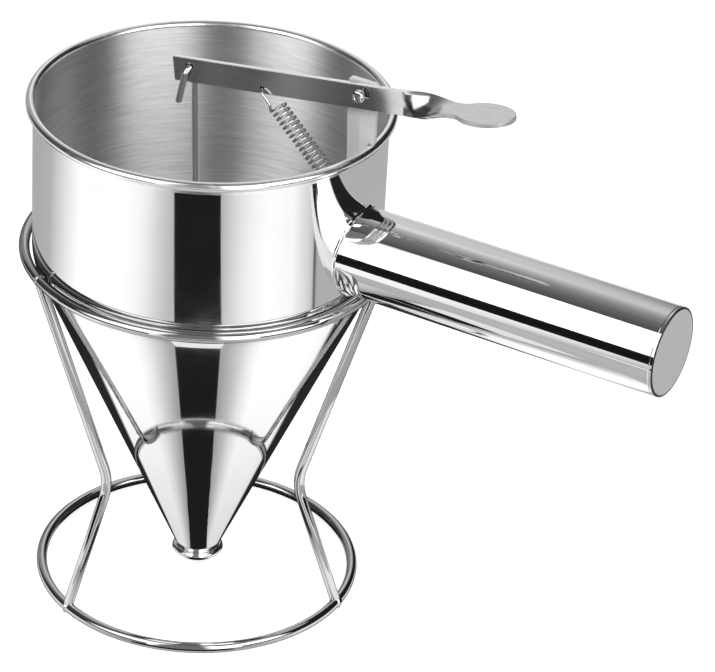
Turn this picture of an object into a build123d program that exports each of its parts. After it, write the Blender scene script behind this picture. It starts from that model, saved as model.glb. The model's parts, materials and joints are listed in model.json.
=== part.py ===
from build123d import *
import os
from math import cos, pi, radians, sin, sqrt

os.makedirs("parts", exist_ok=True)

# A hand-held batter dispenser that stands in a wire stand, in millimetres.
# The funnel's axis is the Z axis, the table top is z = 0, and the handle points along +X.

# Cup and cone, formed from thin sheet
cup_radius = 55.0            # outside of the straight wall
sheet = 0.7                  # sheet thickness
rim_height = 171.6           # top of the rolled rim above the table
rim_bead_radius = 1.5        # the rim is rolled outwards into a bead
shoulder_height = 117.5      # where the lines of the wall and the cone would meet
shoulder_radius = 20.0       # wide rounding of that corner
seam_rise = 4.8              # the wall is welded to the cone this far above that corner

# Nozzle at the cone's point
nozzle_height = 5.7          # lowest edge above the table
nozzle_top = 9.5             # seam between the cone and the nozzle ring
nozzle_radius = 7.4          # outside radius at that seam
nozzle_bore = 5.2            # radius of the outlet
lip_bead_radius = 1.25       # the outlet's rolled lip
lip_overhang = 0.95          # how far the lip stands out past the seam's radius

# Handle, a closed tube welded to the wall
handle_radius = 13.9
handle_wall = 0.8
handle_length = 105.9        # from the cup's wall to the outer face of the end cap
handle_above_ring = 0.35     # lowest line of the tube above the stand's top ring
cap_thick = 1.2              # flange of the end cap
cap_edge = 0.5               # rounding of the cap's edge
plug_length = 4.0            # spigot of the cap inside the tube
plug_gap = 0.05
weld_radius = 2.4            # hollow fillet of the weld between handle and wall
weld_margin = 0.4            # past the stand's top ring, where the plain tube starts
weld_rise = 0.25             # the weld stands this far proud of the tube

# Bracket on the inside of the wall, which carries the lever
pivot_from_wall = 2.8        # pivot to the inside of the wall
pivot_above_rim = 15.9
bracket_thick = 1.5
bracket_inner_edge = 4.7     # plate from the pivot towards the funnel's axis
bracket_outer_edge = 5.1     # and away from it, above the rim
bracket_rim_gap = 0.3        # there the plate passes this far above the rim
bracket_above_pivot = 4.6
bracket_below_pivot = 43.5
bracket_foot_taper = 1.6     # the plate narrows by this much at its foot
bracket_corner = 1.0         # rounding of the plate's top corners
flange_width = 9.0           # foot flange, bent along the wall
flange_height = 16.0
flange_above_foot = 5.0
anchor_above_foot = 3.4      # hole for the spring's lower hook
anchor_inside_pivot = 0.3

# Rivet and washer at the pivot
rivet_radius = 1.4
rivet_head_radius = 2.1
rivet_head_height = 0.9
rivet_head_round = 0.6
rivet_fit = 0.05             # running fit of the lever on the rivet
rivet_seat = 0.02            # the bracket and the washer are nearly tight on the rivet
washer_radius = 3.2
washer_thick = 0.5
side_play = 0.1              # between the lever and what holds it at each side

# Lever, one strip that stands on edge and is twisted flat into a thumb pad
strip_width = 8.0
strip_thick = 1.5
strip_end_round = 0.4
lever_slope = 8.07           # degrees, the strip rises towards the thumb pad
hook_arm = 60.1              # pivot to the hole for the plunger rod
hook_rise = 1.0              # that hole above the strip's middle line
hook_end = 5.9               # that hole to the strip's inner end
spring_arm = 34.1            # pivot to the hole for the spring
spring_drop = 2.2            # that hole below the strip's middle line
slot_reach = 3.0             # small punched slot beside the rivet
slot_rise = 1.6
slot_width = 1.9
slot_length = 3.0
twist_start = 15.0           # pivot to the start of the twist
twist_length = 15.5
twist_turn = 85              # degrees, a little short of a quarter turn
twist_steps = 6
pad_neck_width = 7.6
pad_neck_length = 2.6
pad_length = 19.4
pad_width = 12.8
pad_waist_round = 1.5

# Plunger rod and stopper
rod_radius = 1.1
rod_hole_gap = 0.45          # play of the rod in the lever's hole
hook_side_gap = 0.45         # between the hook and the strip's faces
hook_straight = 0.1          # from the hole's middle to the start of each bend
hook_tail_drop = 11.5        # free end of the hook below its top
hook_tail_lean = 2.6         # and how far it leans away from the pivot
seat_gap = 0.3               # stopper to the inside of the cone
stopper_recess = 0.8         # tip of the stopper above the nozzle's lowest edge
stopper_nose_gap = 1.2       # tip of the stopper to the outlet's bore
stopper_nose_height = 1.0
stopper_seat_length = 8.0
stopper_dome_height = 4.0
stopper_boss_radius = 2.6
stopper_boss_height = 2.5
socket_depth = 10.0
socket_fit = 0.05

# Return spring, one wire wound in a close helix with a hook at each end
spring_wire_radius = 0.4
spring_coil_radius = 2.5     # middle line of the wire
spring_turns = 19
spring_hook_top = 7.0        # lever's hole to the first turn, along the spring
spring_hook_low = 9.0        # last turn to the bracket's hole
spring_hole_gap = 0.45       # play of the wire in each hole
spring_tail = 1.0            # straight free end of each hook
spring_lift = 70             # degrees of the first and last turn that lift into the hooks
gap_samples = 120            # points on each turn where the wire's gap to itself is measured
gap_turns_from = 0.4         # the stretches compared lie from this part of a turn apart
gap_turns_to = 2.2           # to this many turns apart

# Stand, bent and welded from round wire
wire_radius = 1.7            # both rings
leg_wire_radius = 1.7
top_ring_overhang = 2.4      # middle line of the top ring's wire outside the cup's wall
ring_above_shoulder = 2.3    # and above the shoulder's corner: the legs below it carry the shoulder
base_ring_radius = 51.3
knee_radius = 34.6           # the legs bend in towards the cone
knee_height = 42.4
knee_bend = 17.0
leg_azimuths = {             # degrees round the axis, at the base ring and at the top ring
    "right": (4.5, 7.7),
    "left": (-112.2, -121.7),
    "back": (126.1, 123.0),
}
weld_bead = 2.3              # radius of the weld blobs where the legs meet the rings
weld_shift = 0.6             # the blobs sit a little to the outside
weld_clear = 0.3             # the handle's weld stays this far above the top ring

# The cone's line, from the shoulder down to the nozzle
cone_slope = (cup_radius - nozzle_radius) / (shoulder_height - nozzle_top)
cone_cos = 1.0 / sqrt(1.0 + cone_slope**2)
wall_inner = cup_radius - sheet


def cone_outer(height):
    return nozzle_radius + (height - nozzle_top) * cone_slope


def cone_inner(height):
    return cone_outer(height) - sheet / cone_cos


def lever_point(along, across, side=0.0):
    """A point of the lever from its pivot: along the strip, across it upwards, and sideways in +Y."""
    return lever_face.from_local_coords((along, across, -side))


# Planes, points and levels that several pieces share
top_ring_radius = cup_radius + top_ring_overhang
top_ring_height = shoulder_height + ring_above_shoulder
top_ring_top = top_ring_height + wire_radius
base_ring_height = wire_radius
handle_height = top_ring_top + handle_above_ring + handle_radius
handle_end = cup_radius + handle_length
handle_bore = handle_radius - handle_wall
weld_end = top_ring_radius + wire_radius + weld_margin
pivot_reach = wall_inner - pivot_from_wall
pivot_height = rim_height + pivot_above_rim
lever_tail = hook_arm + hook_end
slope_x = cos(radians(lever_slope))
slope_z = sin(radians(lever_slope))
lever_face = Plane(origin=(pivot_reach, 0, pivot_height), x_dir=(slope_x, 0, slope_z), z_dir=(0, -1, 0))
hook_point = lever_point(-hook_arm, hook_rise)
spring_point = lever_point(-spring_arm, -spring_drop)
bracket_front = strip_thick / 2 + side_play + washer_thick
bracket_back = bracket_front + bracket_thick
bracket_foot = pivot_height - bracket_below_pivot
anchor_point = Vector(
    pivot_reach - anchor_inside_pivot,
    (bracket_front + bracket_back) / 2,
    bracket_foot + anchor_above_foot,
)
spring_hole_radius = spring_wire_radius + spring_hole_gap
seam_height = shoulder_height + seam_rise

# Cup barrel: the straight wall and its rolled rim
with BuildPart() as cup_barrel:
    bead_middle = wall_inner + rim_bead_radius
    with BuildSketch(Plane.XZ):
        with BuildLine():
            Polyline(
                (wall_inner, seam_height),
                (cup_radius, seam_height),
                (cup_radius, rim_height - rim_bead_radius),
                (wall_inner, rim_height - rim_bead_radius),
                close=True,
            )
        make_face()
        with Locations((bead_middle, rim_height - rim_bead_radius)):
            Circle(rim_bead_radius)
    revolve(axis=Axis.Z)
cup_barrel.part.label = "cup_barrel"
export_step(cup_barrel.part, "parts/cup_barrel.step")

# Funnel cone: the rounded shoulder and the cone, open at both ends
with BuildPart() as funnel_cone:
    inner_corner = shoulder_height + (sheet / cone_cos - sheet) / cone_slope
    with BuildSketch(Plane.XZ):
        with BuildLine():
            FilletPolyline(
                (nozzle_radius, nozzle_top),
                (cup_radius, shoulder_height),
                (cup_radius, seam_height),
                radius=shoulder_radius,
            )
            Line((cup_radius, seam_height), (wall_inner, seam_height))
            FilletPolyline(
                (wall_inner, seam_height),
                (wall_inner, inner_corner),
                (cone_inner(nozzle_top), nozzle_top),
                radius=shoulder_radius - sheet,
            )
            Line((cone_inner(nozzle_top), nozzle_top), (nozzle_radius, nozzle_top))
        make_face()
    revolve(axis=Axis.Z)
funnel_cone.part.label = "funnel_cone"
export_step(funnel_cone.part, "parts/funnel_cone.step")

# Nozzle ring: ends the cone in an outlet with a rolled lip
with BuildPart() as nozzle_ring:
    lip_height = nozzle_height + lip_bead_radius
    bore_start = nozzle_top - (cone_inner(nozzle_top) - nozzle_bore) / cone_slope
    lip_middle = nozzle_radius + lip_overhang - lip_bead_radius
    with BuildSketch(Plane.XZ):
        with BuildLine():
            Polyline(
                (cone_inner(nozzle_top), nozzle_top),
                (nozzle_bore, bore_start),
                (nozzle_bore, nozzle_height),
                (lip_middle, nozzle_height),
                (lip_middle, lip_height),
                (cone_outer(lip_height + lip_bead_radius), lip_height + lip_bead_radius),
                (nozzle_radius, nozzle_top),
                close=True,
            )
        make_face()
        with Locations((lip_middle, lip_height)):
            Circle(lip_bead_radius)
    revolve(axis=Axis.Z)
nozzle_ring.part.label = "nozzle_ring"
export_step(nozzle_ring.part, "parts/nozzle_ring.step")

# Handle tube: starts where the weld at its root ends
with BuildPart() as handle_tube:
    with BuildSketch(Plane.YZ.offset(weld_end)):
        with Locations((0, handle_height)):
            Circle(handle_radius)
            Circle(handle_bore, mode=Mode.SUBTRACT)
    extrude(amount=handle_end - cap_thick - weld_end)
handle_tube.part.label = "handle_tube"
export_step(handle_tube.part, "parts/handle_tube.step")

# Handle end cap: a disc with a spigot that plugs the tube
with BuildPart() as handle_end_cap:
    with BuildSketch(Plane.YZ.offset(handle_end)):
        with Locations((0, handle_height)):
            Circle(handle_radius)
    extrude(amount=-cap_thick)
    fillet(handle_end_cap.edges().group_by(Axis.X)[-1], radius=cap_edge)
    with BuildSketch(Plane.YZ.offset(handle_end - cap_thick)):
        with Locations((0, handle_height)):
            Circle(handle_bore - plug_gap)
    extrude(amount=-plug_length)
handle_end_cap.part.label = "handle_end_cap"
export_step(handle_end_cap.part, "parts/handle_end_cap.step")

# Handle weld: the tube's root with its hollow fillet, cut to the round of the wall, and cut off
# where the top ring passes below
with BuildPart() as handle_weld:
    with BuildSketch(Plane.XY):
        Circle(cup_radius)
    extrude(amount=rim_height)
    with BuildSketch(Plane.YZ):
        with Locations((0, handle_height)):
            Circle(handle_radius + weld_rise)
    extrude(amount=handle_end)
    joint_edges = handle_weld.edges().filter_by(
        lambda edge: edge.geom_type not in (GeomType.CIRCLE, GeomType.LINE)
    )
    fillet(joint_edges, radius=weld_radius)
    with BuildSketch(Plane.XY):
        Circle(cup_radius)
    extrude(amount=rim_height, mode=Mode.SUBTRACT)
    with BuildSketch(Plane.YZ):
        with Locations((0, handle_height)):
            Circle(handle_bore)
    extrude(amount=handle_end, mode=Mode.SUBTRACT)
    with BuildSketch(Plane.XY):
        Circle(handle_end)
    extrude(amount=top_ring_top + weld_clear, mode=Mode.SUBTRACT)
    split(bisect_by=Plane.YZ.offset(weld_end), keep=Keep.BOTTOM)
handle_weld.part.label = "handle_weld"
export_step(handle_weld.part, "parts/handle_weld.step")

# Lever bracket: an upright plate cut to the inside of the wall, wider above the rim, with a foot
# flange bent along the wall
with BuildPart() as lever_bracket:
    plate_left = pivot_reach - bracket_inner_edge
    plate_right = pivot_reach + bracket_outer_edge
    plate_top = pivot_height + bracket_above_pivot
    plate_step = rim_height + bracket_rim_gap
    with BuildSketch(Plane.XZ.offset(-bracket_front)):
        with BuildLine():
            Polyline(
                (plate_left + bracket_foot_taper, bracket_foot),
                (cup_radius, bracket_foot),
                (cup_radius, plate_step),
                (plate_right, plate_step),
                (plate_right, plate_top),
                (plate_left, plate_top),
                (plate_left, pivot_height - strip_width),
                close=True,
            )
        make_face()
    extrude(amount=-bracket_thick)
    with BuildSketch(Plane.XY.offset(bracket_foot + flange_above_foot)):
        with Locations(((plate_left + cup_radius) / 2, bracket_front + flange_width / 2)):
            Rectangle(cup_radius - plate_left, flange_width)
        Circle(wall_inner - bracket_thick, mode=Mode.SUBTRACT)
    extrude(amount=flange_height)
    with BuildSketch(Plane.XY.offset(bracket_foot)):
        Circle(cup_radius + flange_width)
        Circle(wall_inner, mode=Mode.SUBTRACT)
    extrude(amount=plate_step - bracket_foot, mode=Mode.SUBTRACT)
    top_face = lever_bracket.faces().sort_by(Axis.Z)[-1]
    fillet(top_face.edges().sort_by(SortBy.LENGTH)[:2], radius=bracket_corner)
    with BuildSketch(Plane.XZ):
        with Locations((pivot_reach, pivot_height)):
            Circle(rivet_radius + rivet_seat)
        with Locations((anchor_point.X, anchor_point.Z)):
            Circle(spring_hole_radius)
    extrude(amount=-bracket_back, mode=Mode.SUBTRACT)
lever_bracket.part.label = "lever_bracket"
export_step(lever_bracket.part, "parts/lever_bracket.step")

# Pivot washer: keeps the lever off the bracket
with BuildPart() as pivot_washer:
    with BuildSketch(Plane.XZ.offset(-bracket_front)):
        with Locations((pivot_reach, pivot_height)):
            Circle(washer_radius)
            Circle(rivet_radius + rivet_seat, mode=Mode.SUBTRACT)
    extrude(amount=washer_thick)
pivot_washer.part.label = "pivot_washer"
export_step(pivot_washer.part, "parts/pivot_washer.step")

# Pivot rivet: a shank with a rounded head at each side
with BuildPart() as pivot_rivet:
    front_face = -strip_thick / 2 - side_play
    with BuildSketch(Plane.XZ.offset(-front_face)):
        with Locations((pivot_reach, pivot_height)):
            Circle(rivet_radius)
    extrude(amount=front_face - bracket_back)
    for head_face, head_way in ((front_face, 1), (bracket_back, -1)):
        with BuildSketch(Plane.XZ.offset(-head_face)):
            with Locations((pivot_reach, pivot_height)):
                Circle(rivet_head_radius)
        extrude(amount=head_way * rivet_head_height)
    fillet(pivot_rivet.edges().group_by(Axis.Y)[0], radius=rivet_head_round)
    fillet(pivot_rivet.edges().group_by(Axis.Y)[-1], radius=rivet_head_round)
pivot_rivet.part.label = "pivot_rivet"
export_step(pivot_rivet.part, "parts/pivot_rivet.step")

# Release lever: the strip with its holes, the twist and the thumb pad
with BuildPart() as release_lever:
    with BuildSketch(lever_face) as strip:
        with Locations(((twist_start - lever_tail) / 2, 0)):
            Rectangle(twist_start + lever_tail, strip_width)
        fillet(strip.vertices().group_by(Axis.X)[0], radius=strip_end_round)
        Circle(rivet_radius + rivet_fit, mode=Mode.SUBTRACT)
        with Locations((-hook_arm, hook_rise)):
            Circle(rod_radius + rod_hole_gap, mode=Mode.SUBTRACT)
        with Locations((-spring_arm, -spring_drop)):
            Circle(spring_hole_radius, mode=Mode.SUBTRACT)
        with Locations((slot_reach, slot_rise)):
            Rectangle(slot_width, slot_length, mode=Mode.SUBTRACT)
    extrude(amount=strip_thick / 2, both=True)
    along = Vector(slope_x, 0, slope_z)
    upright = Vector(-slope_z, 0, slope_x)
    for step in range(twist_steps + 1):
        share = step / twist_steps
        turn = radians(twist_turn * share)
        across = upright * cos(turn) + Vector(0, 1, 0) * sin(turn)
        twist_point = lever_point(twist_start + share * twist_length, 0)
        with BuildSketch(Plane(origin=twist_point, x_dir=across, z_dir=along)):
            Rectangle(strip_width, strip_thick)
    loft()
    with BuildSketch(Plane(origin=twist_point, x_dir=along, z_dir=along.cross(across))) as pad:
        with Locations(((pad_neck_length + pad_length) / 4, 0)):
            Rectangle((pad_neck_length + pad_length) / 2, pad_neck_width)
        with Locations((pad_neck_length + pad_length / 2, 0)):
            Ellipse(pad_length / 2, pad_width / 2)
        fillet(pad.vertices().group_by(Axis.X)[1], radius=pad_waist_round)
    extrude(amount=strip_thick / 2, both=True)
release_lever.part.label = "release_lever"
export_step(release_lever.part, "parts/release_lever.step")

# Plunger rod: hooked through the lever's hole, it leans in to the nozzle
hook_offset = strip_thick / 2 + hook_side_gap + rod_radius
stopper_bottom = nozzle_height + stopper_recess
seat_low = stopper_bottom + stopper_nose_height
seat_high = seat_low + stopper_seat_length
dome_top = seat_high + stopper_dome_height
boss_top = dome_top + stopper_boss_height
socket_bottom = Vector(0, 0, boss_top - socket_depth)
rod_top = hook_point + Vector(0, hook_offset, 0)
rod_way = rod_top - socket_bottom
with BuildPart() as plunger_rod:
    with BuildLine() as rod_path:
        FilletPolyline(
            socket_bottom,
            rod_top,
            hook_point - Vector(0, hook_offset, 0),
            hook_point - Vector(hook_tail_lean, hook_offset, hook_tail_drop),
            radius=hook_offset - hook_straight,
        )
    with BuildSketch(Plane(origin=socket_bottom, z_dir=rod_way)):
        Circle(rod_radius)
    sweep(path=rod_path.wires()[0])
plunger_rod.part.label = "plunger_rod"
export_step(plunger_rod.part, "parts/plunger_rod.step")

# Stopper plug: closes the outlet from inside, with the rod's end in its boss
with BuildPart() as stopper_plug:
    low_radius = cone_inner(seat_low) - seat_gap / cone_cos
    high_radius = cone_inner(seat_high) - seat_gap / cone_cos
    with BuildSketch(Plane.XZ):
        with BuildLine():
            Polyline(
                (0, boss_top),
                (0, stopper_bottom),
                (nozzle_bore - stopper_nose_gap, stopper_bottom),
                (low_radius, seat_low),
                (high_radius, seat_high),
            )
            TangentArc((high_radius, seat_high), (stopper_boss_radius, dome_top), tangent=(0, 1))
            Polyline((stopper_boss_radius, dome_top), (stopper_boss_radius, boss_top), (0, boss_top))
        make_face()
    revolve(axis=Axis.Z)
    with BuildSketch(Plane(origin=socket_bottom, z_dir=rod_way)):
        Circle(rod_radius + socket_fit)
    extrude(amount=rod_way.length, mode=Mode.SUBTRACT)
stopper_plug.part.label = "stopper_plug"
export_step(stopper_plug.part, "parts/stopper_plug.step")

# Return spring: points and directions of its middle line, from the lever's hole to the bracket's hole
spring_span = anchor_point - spring_point
spring_axis = spring_span.normalized()
spring_side = (Vector(0, 1, 0) - spring_axis * spring_axis.Y).normalized()
spring_up = spring_axis.cross(spring_side)
coil_length = spring_span.length - spring_hook_top - spring_hook_low
coil_pitch = coil_length / spring_turns


def coil_point(turned):
    """Point and direction of the helix after so many degrees."""
    swing = radians(turned + 180)
    out = spring_side * cos(swing) + spring_up * sin(swing)
    along = spring_hook_top + coil_pitch * turned / 360
    way = spring_up * cos(swing) - spring_side * sin(swing)
    climb = spring_axis * (coil_pitch / (2 * pi * spring_coil_radius))
    return spring_point + spring_axis * along + out * spring_coil_radius, (way + climb).normalized()


def biarc(start, start_way, end, end_way):
    """Two arcs that leave start and reach end in the given directions and meet smoothly."""
    span = end - start
    ways = start_way + end_way
    spread = 2 * (1 - start_way.dot(end_way))
    reach = (sqrt(span.dot(ways)**2 + spread * span.dot(span)) - span.dot(ways)) / spread
    first = start + start_way * reach
    second = end - end_way * reach
    middle = (first + second) * 0.5
    TangentArc(start, middle, tangent=start_way)
    TangentArc(middle, end, tangent=second - first)


with BuildPart() as return_spring:
    with BuildLine() as spring_path:
        side = spring_side * spring_coil_radius
        top_bow = spring_point + spring_axis * spring_coil_radius
        low_bow = anchor_point - spring_axis * spring_coil_radius
        coil_start = spring_point + spring_axis * (spring_hook_top - spring_coil_radius) - side
        coil_end = anchor_point - spring_axis * (spring_hook_low - spring_coil_radius) - side
        Line(top_bow + side + spring_axis * spring_tail, top_bow + side)
        TangentArc(top_bow + side, spring_point, tangent=-spring_axis)
        TangentArc(spring_point, top_bow - side, tangent=-spring_side)
        Line(top_bow - side, coil_start)
        place, way = coil_point(spring_lift)
        biarc(coil_start, spring_axis, place, way)
        turned = spring_lift
        while turned < 360 * spring_turns - spring_lift:
            step = min(180, 360 * spring_turns - spring_lift - turned)
            next_place, next_way = coil_point(turned + step)
            biarc(place, way, next_place, next_way)
            place, way = next_place, next_way
            turned = turned + step
        biarc(place, way, coil_end, spring_axis)
        Line(coil_end, low_bow - side)
        TangentArc(low_bow - side, anchor_point, tangent=spring_axis)
        TangentArc(anchor_point, low_bow + side, tangent=spring_side)
        Line(low_bow + side, low_bow + side - spring_axis * spring_tail)
    spring_wire = spring_path.wires()[0]
    with BuildSketch(Plane(origin=spring_wire @ 0, z_dir=spring_wire % 0)):
        Circle(spring_wire_radius)
    sweep(path=spring_wire)
return_spring.part.label = "return_spring"
export_step(return_spring.part, "parts/return_spring.step")

# The least gap of the spring's wire to itself
sample_count = gap_samples * spring_turns
samples = [spring_wire @ (index / sample_count) for index in range(sample_count + 1)]
turn_samples = 2 * pi * spring_coil_radius / spring_wire.length * sample_count
nearest = int(gap_turns_from * turn_samples)
furthest = int(gap_turns_to * turn_samples)
least = min(
    (samples[low] - samples[high]).length
    for low in range(sample_count + 1)
    for high in range(low + nearest, min(low + furthest, sample_count + 1))
)
print(f"spring: least gap {least - 2 * spring_wire_radius:.2f}, wire length {spring_wire.length:.1f}, "
      f"volume {return_spring.part.volume:.2f} against "
      f"{spring_wire.length * pi * spring_wire_radius**2:.2f}")

# Stand rings
ring_places = (("stand_top_ring", top_ring_radius, top_ring_height),
               ("stand_base_ring", base_ring_radius, base_ring_height))
for ring_name, ring_radius, ring_height in ring_places:
    with BuildPart() as ring:
        with BuildSketch(Plane.XZ):
            with Locations((ring_radius, ring_height)):
                Circle(wire_radius)
        revolve(axis=Axis.Z)
    ring.part.label = ring_name
    export_step(ring.part, f"parts/{ring_name}.step")


def around(radius, azimuth, height):
    """A point round the funnel's axis."""
    return Vector(radius * cos(radians(azimuth)), radius * sin(radians(azimuth)), height)


# Stand legs: bent wires between the rings, their ends cut to the round of the ring wire
legs = {}
weld_places = {"stand_top_ring": [], "stand_base_ring": []}
for leg_name, (base_azimuth, top_azimuth) in leg_azimuths.items():
    knee_azimuth = base_azimuth + (top_azimuth - base_azimuth) * knee_height / top_ring_height
    with BuildPart() as leg:
        with BuildLine() as leg_path:
            FilletPolyline(
                around(base_ring_radius, base_azimuth, base_ring_height),
                around(knee_radius, knee_azimuth, knee_height),
                around(top_ring_radius, top_azimuth, top_ring_height),
                radius=knee_bend,
            )
        leg_wire = leg_path.wires()[0]
        with BuildSketch(Plane(origin=leg_wire @ 0, z_dir=leg_wire % 0)):
            Circle(leg_wire_radius)
        sweep(path=leg_wire)
        for ring_name, ring_radius, ring_height in ring_places:
            with BuildSketch(Plane.XZ):
                with Locations((ring_radius, ring_height)):
                    Circle(wire_radius)
            revolve(axis=Axis.Z, mode=Mode.SUBTRACT)
    leg.part.label = f"stand_leg_{leg_name}"
    export_step(leg.part, f"parts/stand_leg_{leg_name}.step")
    legs[leg_name] = leg.part
    base_place = leg_wire @ 0 + (leg_wire % 0) * wire_radius
    top_place = leg_wire @ 1 - (leg_wire % 1) * wire_radius
    weld_places["stand_base_ring"].append(base_place + around(weld_shift, base_azimuth, 0))
    weld_places["stand_top_ring"].append(top_place + around(weld_shift, top_azimuth, 0))

# Stand welds: a blob round each end of each leg
for ring_name, ring_radius, ring_height in ring_places:
    with BuildPart() as welds:
        with Locations(weld_places[ring_name]):
            Sphere(weld_bead)
        with BuildSketch(Plane.XZ):
            with Locations((ring_radius, ring_height)):
                Circle(wire_radius)
        revolve(axis=Axis.Z, mode=Mode.SUBTRACT)
        add(legs.values(), mode=Mode.SUBTRACT)
    weld_name = ring_name.replace("stand_", "") + "_welds"
    welds.part.label = weld_name
    export_step(welds.part, f"parts/{weld_name}.step")
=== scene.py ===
import json
import math

import bmesh
import bpy
from mathutils import Matrix, Vector, geometry, noise


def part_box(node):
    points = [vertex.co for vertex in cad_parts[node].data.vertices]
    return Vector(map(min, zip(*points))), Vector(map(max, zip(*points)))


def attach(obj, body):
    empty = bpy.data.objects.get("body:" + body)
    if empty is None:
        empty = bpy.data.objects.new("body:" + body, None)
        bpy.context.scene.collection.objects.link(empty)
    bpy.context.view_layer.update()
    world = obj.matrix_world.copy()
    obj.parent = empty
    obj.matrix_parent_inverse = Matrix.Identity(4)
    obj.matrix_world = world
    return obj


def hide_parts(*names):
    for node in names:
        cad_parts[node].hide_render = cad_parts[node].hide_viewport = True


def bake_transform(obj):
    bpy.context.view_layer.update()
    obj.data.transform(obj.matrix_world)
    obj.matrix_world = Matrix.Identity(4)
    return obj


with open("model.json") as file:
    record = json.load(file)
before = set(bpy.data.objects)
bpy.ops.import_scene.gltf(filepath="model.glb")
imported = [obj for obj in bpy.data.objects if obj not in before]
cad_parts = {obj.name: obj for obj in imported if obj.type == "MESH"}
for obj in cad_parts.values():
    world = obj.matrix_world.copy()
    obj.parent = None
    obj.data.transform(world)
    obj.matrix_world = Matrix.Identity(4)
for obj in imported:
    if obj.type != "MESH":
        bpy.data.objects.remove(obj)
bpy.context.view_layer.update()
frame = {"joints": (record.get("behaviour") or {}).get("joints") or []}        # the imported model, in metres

# A hand-held batter dispenser in its wire stand: fine meshes, metal finishes and a white studio.
# The funnel's axis is Z, the table top is z = 0, and the handle points along +X.

MM = 0.001


def low(node):
    """Lowest corner of a CAD node's box."""
    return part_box(node)[0]


def high(node):
    """Highest corner of a CAD node's box."""
    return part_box(node)[1]


# Sizes read from the frame
rim_top = high("cup_barrel").z
rim_outer = high("cup_barrel").x
seam_height = low("cup_barrel").z
cup_radius = high("funnel_cone").x
nozzle_top = high("nozzle_ring").z
nozzle_low = low("nozzle_ring").z
lip_outer = high("nozzle_ring").x
handle_radius = high("handle_tube").y
handle_height = high("handle_tube").z - handle_radius
handle_start = low("handle_tube").x
cap_start = high("handle_tube").x
cap_end = high("handle_end_cap").x
weld_floor = low("handle_weld").z
wire_radius = high("stand_base_ring").z / 2
base_ring_radius = high("stand_base_ring").x - wire_radius
top_ring_radius = high("stand_top_ring").x - wire_radius
top_ring_height = high("stand_top_ring").z - wire_radius
joint_places = {joint["name"]: Vector(joint["pos_m"]) for joint in frame["joints"] if "pos_m" in joint}
pivot = joint_places["lever_pivot"]
hook_point = joint_places["plunger_swing"]
bracket_front = low("lever_bracket").y
bracket_foot = low("lever_bracket").z
bracket_top = high("lever_bracket").z
bracket_left = low("lever_bracket").x
bracket_right = high("lever_bracket").x
stopper_low = low("stopper_plug").z
stopper_top = high("stopper_plug").z
stopper_radius = high("stopper_plug").x

# Sizes of the sheet metal
sheet = 0.7 * MM
shoulder_height = 117.5 * MM
shoulder_radius = 20.0 * MM
nozzle_radius = 7.4 * MM
nozzle_bore = 5.2 * MM
lip_bead = 1.25 * MM
lip_sink = 0.1 * MM
bore_round = 0.4 * MM

# Sizes of the handle
handle_wall = 0.8 * MM
handle_ease = 0.15 * MM
cap_edge = 0.3 * MM
cap_groove = 0.2 * MM
weld_ball = 1.1 * MM
weld_lump = 0.55 * MM
weld_lump_size = 2.2 * MM

# Sizes of the lever, its bracket and its rivet
strip_width = 8.0 * MM
strip_thick = 1.5 * MM
strip_round = 0.4 * MM
strip_edge = 0.18 * MM
lever_slope = math.radians(8.07)
lever_tail = 66.0 * MM
hook_arm = 60.1 * MM
hook_rise = 1.0 * MM
hook_hole = 1.55 * MM
spring_arm = 34.1 * MM
spring_drop = 2.2 * MM
spring_hole = 0.85 * MM
rivet_radius = 1.4 * MM
rivet_hole = 1.45 * MM
rivet_head = 2.1 * MM
rivet_height = 0.9 * MM
slot_reach = 3.0 * MM
slot_rise = 1.6 * MM
slot_width = 1.9 * MM
slot_length = 3.0 * MM
slot_corner = 0.3 * MM
twist_start = 15.0 * MM
twist_length = 15.5 * MM
twist_turn = math.radians(85)
neck_width = 7.6 * MM
neck_length = 2.6 * MM
pad_length = 19.4 * MM
pad_width = 12.8 * MM
waist_lead = 2.0 * MM
waist_slope = 0.9 * MM
waist_corner = 0.55 * MM
waist_round = 1.5 * MM
waist_pull = 0.35
bracket_thick = 1.5 * MM
bracket_corner = 1.0 * MM
bracket_rim_gap = 0.3 * MM
bracket_taper = 1.6 * MM
flange_width = 9.0 * MM
flange_height = 16.0 * MM
flange_lift = 5.0 * MM
flange_corner = 0.5 * MM
anchor_rise = 3.4 * MM
anchor_inset = 0.3 * MM
washer_radius = 3.2 * MM
washer_thick = 0.5 * MM
washer_ease = 0.12 * MM
washer_play = 0.02 * MM
side_play = 0.1 * MM

# Sizes of the rod, stopper and spring
rod_radius = 1.1 * MM
rod_offset = 2.3 * MM
rod_bend = 2.2 * MM
tail_drop = 11.5 * MM
tail_lean = 2.6 * MM
socket_bottom = Vector((0, 0, 12.0 * MM))
stopper_nose = 1.0 * MM
stopper_seat = 8.0 * MM
stopper_nose_radius = 4.0 * MM
stopper_gap = 0.3 * MM
stopper_dome = 4.0 * MM
stopper_ease = 0.25 * MM
boss_radius = 2.6 * MM
spring_wire = 0.4 * MM
coil_radius = 2.5 * MM
coil_turns = 19
coil_lift = 70
lift_pull = 0.42
hook_top = 7.0 * MM
hook_low = 9.0 * MM
spring_tail = 1.0 * MM

# Sizes of the stand
leg_radius = 1.7 * MM
knee_radius = 34.6 * MM
knee_height = 42.4 * MM
knee_bend = 17.0 * MM
leg_azimuths = {"right": (4.5, 7.7), "left": (-112.2, -121.7), "back": (126.1, 123.0)}
base_bead = 2.15 * MM
top_bead = 1.9 * MM
bead_lump = 0.4 * MM
bead_lump_size = 1.2 * MM

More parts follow.
